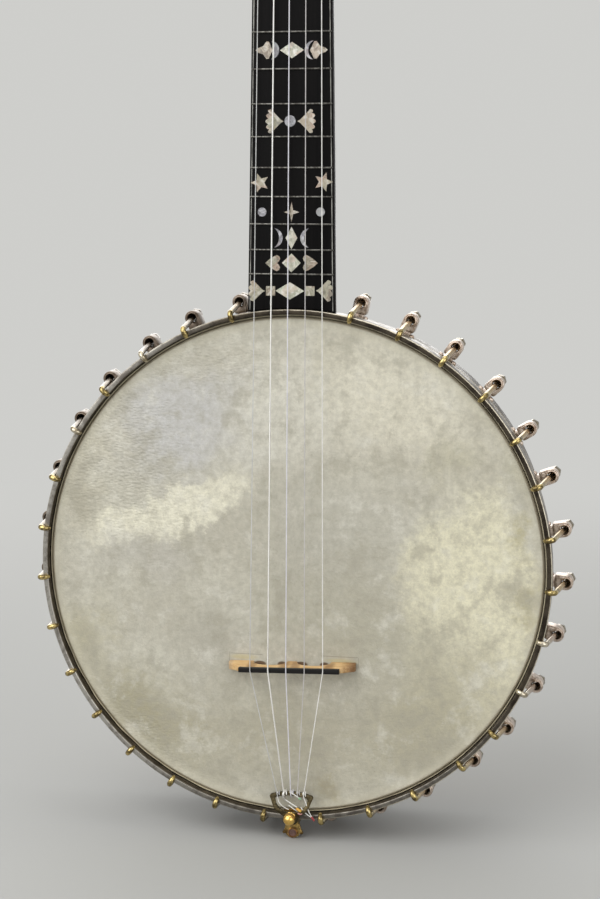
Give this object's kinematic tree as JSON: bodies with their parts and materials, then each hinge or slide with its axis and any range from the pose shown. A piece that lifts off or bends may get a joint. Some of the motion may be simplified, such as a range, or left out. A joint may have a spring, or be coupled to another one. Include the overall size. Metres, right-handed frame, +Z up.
{
  "type": "five-string banjo",
  "caption": "Open-back five-string banjo: calf-skin head on a metal-clad wood rim with bracket hooks, inlaid fretted neck, friction pegs, bridge and half-moon tailpiece.",
  "frame": {"origin": "back of the neck just under the peghead, where a wall hanger's yoke carries it, on the neck's centre line at the nut", "axes": "+Z up the neck along the instrument's length, -Y out of the skin head towards the player's view, +X to the treble side"},
  "size_m": [0.335, 0.1001, 0.9062],
  "materials": {
    "rim_maple": "satin",
    "aged_nickel": "worn",
    "calf_skin": "matte",
    "dark_brass": "worn",
    "worn_gold": "polished",
    "ebony": "satin",
    "ebony_board": "satin",
    "bone": "satin",
    "gut_string": "satin",
    "silver_wound": "satin",
    "bridge_maple": "satin",
    "blued_steel": "satin"
  },
  "bodies": {
    "instrument": {"brace_wedge": "ebony", "bracket_hook_01": "worn_gold", "bracket_hook_02": "worn_gold", "bracket_hook_03": "worn_gold", "bracket_hook_04": "worn_gold", "bracket_hook_05": "worn_gold", "bracket_hook_06": "worn_gold", "bracket_hook_07": "worn_gold", "bracket_hook_08": "worn_gold", "bracket_hook_09": "worn_gold", "bracket_hook_10": "worn_gold", "bracket_hook_11": "worn_gold", "bracket_hook_12": "worn_gold", "bracket_hook_13": "worn_gold", "bracket_hook_14": "worn_gold", "bracket_hook_15": "worn_gold", "bracket_hook_16": "worn_gold", "bracket_hook_17": "worn_gold", "bracket_hook_18": "worn_gold", "bracket_hook_19": "worn_gold", "bracket_hook_20": "worn_gold", "bracket_hook_21": "worn_gold", "bracket_hook_22": "worn_gold", "bracket_hook_23": "worn_gold", "bracket_hook_24": "worn_gold", "bracket_hook_25": "worn_gold", "bracket_hook_26": "worn_gold", "bracket_hook_27": "worn_gold", "bracket_hook_28": "worn_gold", "bracket_hook_29": "worn_gold", "bracket_hook_30": "worn_gold", "bridge": "bridge_maple", "bridge_cap": "ebony", "dowel_stick": "rim_maple", "end_bolt": "blued_steel", "fifth_string_pip": "bone", "fingerboard": "ebony_board", "flesh_hoop": "dark_brass", "head": "calf_skin", "heel_cap": "ebony", "neck": "ebony", "neck_brace": "aged_nickel", "nut": "bone", "peghead_veneer": "ebony", "rim_cladding": "aged_nickel", "rim_wood": "rim_maple", "string_1": "gut_string", "string_2": "gut_string", "string_3": "gut_string", "string_4": "silver_wound", "string_5": "gut_string", "tail_ball_nut": "worn_gold", "tail_bracket": "worn_gold", "tailpiece": "dark_brass", "tension_hoop": "aged_nickel"},
    "peg_1_body": {"peg_1": "ebony"},
    "peg_2_body": {"peg_2": "ebony"},
    "peg_3_body": {"peg_3": "ebony"},
    "peg_4_body": {"peg_4": "ebony"},
    "fifth_peg_body": {"fifth_peg": "ebony"}
  },
  "joints": [
    {"name": "peg_1_turn", "type": "hinge", "parent": "instrument", "child": "peg_1_body", "pos_m": [0.0175, -0.0047, 0.05215], "axis": [0, -0.9703, 0.2419], "continuous": true},
    {"name": "peg_2_turn", "type": "hinge", "parent": "instrument", "child": "peg_2_body", "pos_m": [0.0175, 0.00884, 0.10648], "axis": [0, -0.9703, 0.2419], "continuous": true},
    {"name": "peg_3_turn", "type": "hinge", "parent": "instrument", "child": "peg_3_body", "pos_m": [-0.0175, 0.00884, 0.10648], "axis": [0, -0.9703, 0.2419], "continuous": true},
    {"name": "peg_4_turn", "type": "hinge", "parent": "instrument", "child": "peg_4_body", "pos_m": [-0.0175, -0.0047, 0.05215], "axis": [0, -0.9703, 0.2419], "continuous": true},
    {"name": "fifth_peg_turn", "type": "hinge", "parent": "instrument", "child": "fifth_peg_body", "pos_m": [-0.02535, -0.01656, -0.14189], "axis": [1, 0, 0], "continuous": true}
  ]
}
